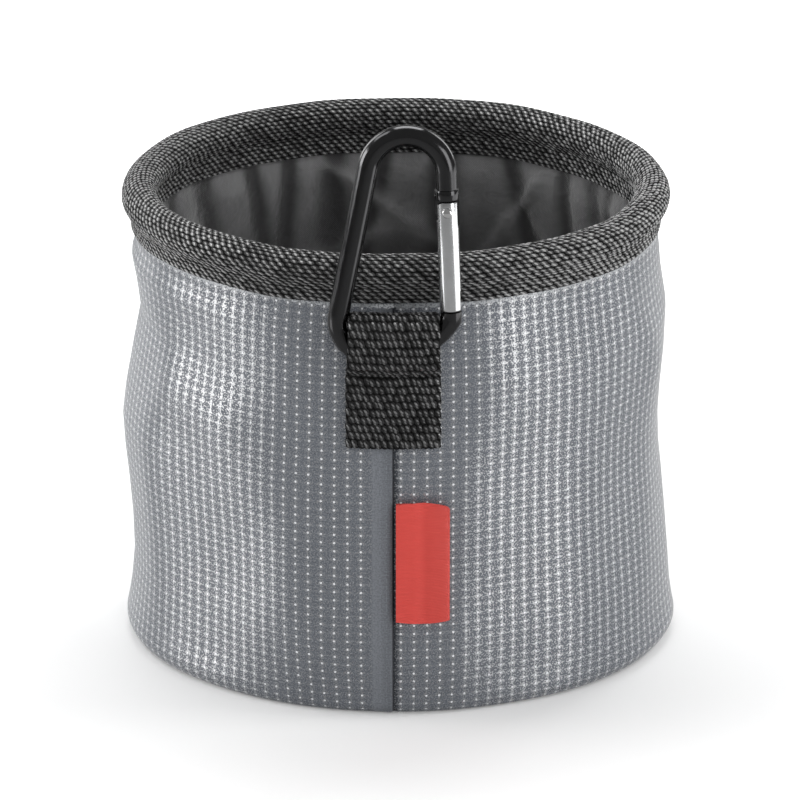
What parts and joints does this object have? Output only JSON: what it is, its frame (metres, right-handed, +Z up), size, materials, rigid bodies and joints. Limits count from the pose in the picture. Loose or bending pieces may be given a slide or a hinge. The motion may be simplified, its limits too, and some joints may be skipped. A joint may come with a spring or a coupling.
{
  "type": "peg bag",
  "caption": "Round fabric bag for clothes pegs: hooped rim with woven binding, dark lining, webbing loop on the front and a snap hook to hang it by.",
  "frame": {"origin": "centre of the base's underside, on the bag's axis", "axes": "+Z up along the bag's axis; -Y is the front, with the strap, the seam and the label; +X is to the right as the front is seen"},
  "size_m": [0.1524, 0.1618, 0.1685],
  "materials": {
    "shell_fabric": "blue-grey polyester weave with a grid of small white dots",
    "lining": "thin black nylon, slightly glossy, wrinkled",
    "binding": "coarse dark grey woven tape, matt",
    "hoop": "bare polyethylene tube",
    "webbing": "coarse black polypropylene webbing, matt",
    "label": "smooth red ribbon, satin",
    "hook_black": "black anodised, glossy",
    "hook_bare": "bare, brushed along its length",
    "steel": "plain bright steel"
  },
  "bodies": {
    "bag": {"outer_shell": "shell_fabric", "base_panel": "shell_fabric", "lining_wall": "lining", "lining_base": "lining", "rim_binding": "binding", "rim_hoop": "hoop", "hoop_plug": "hoop", "strap_tail": "webbing", "label": "label"},
    "loop": {"strap_loop": "webbing"},
    "hook": {"hook_body": "hook_black", "gate_rivet": "steel"},
    "gate": {"hook_gate": "hook_bare", "gate_plunger": "steel", "gate_spring": "steel"}
  },
  "joints": [
    {"name": "loop_fold", "type": "hinge", "parent": "bag", "child": "loop", "pos_m": [0, -0.0782, 0.09965], "axis": [1, 0, 0], "range_deg": [0, 95], "stiffness_Nm_per_rad": 0.002, "springref_deg": -22.92},
    {"name": "hook_rock", "type": "hinge", "parent": "loop", "child": "hook", "pos_m": [0, -0.0803, 0.10899], "axis": [1, 0, 0], "range_deg": [0, 9.5]},
    {"name": "gate_swing", "type": "hinge", "parent": "hook", "child": "gate", "pos_m": [0.01418, -0.07787, 0.14531], "axis": [0, 0.9978, -0.0666], "range_deg": [0, 25], "stiffness_Nm_per_rad": 0.002, "springref_deg": -22.92}
  ]
}
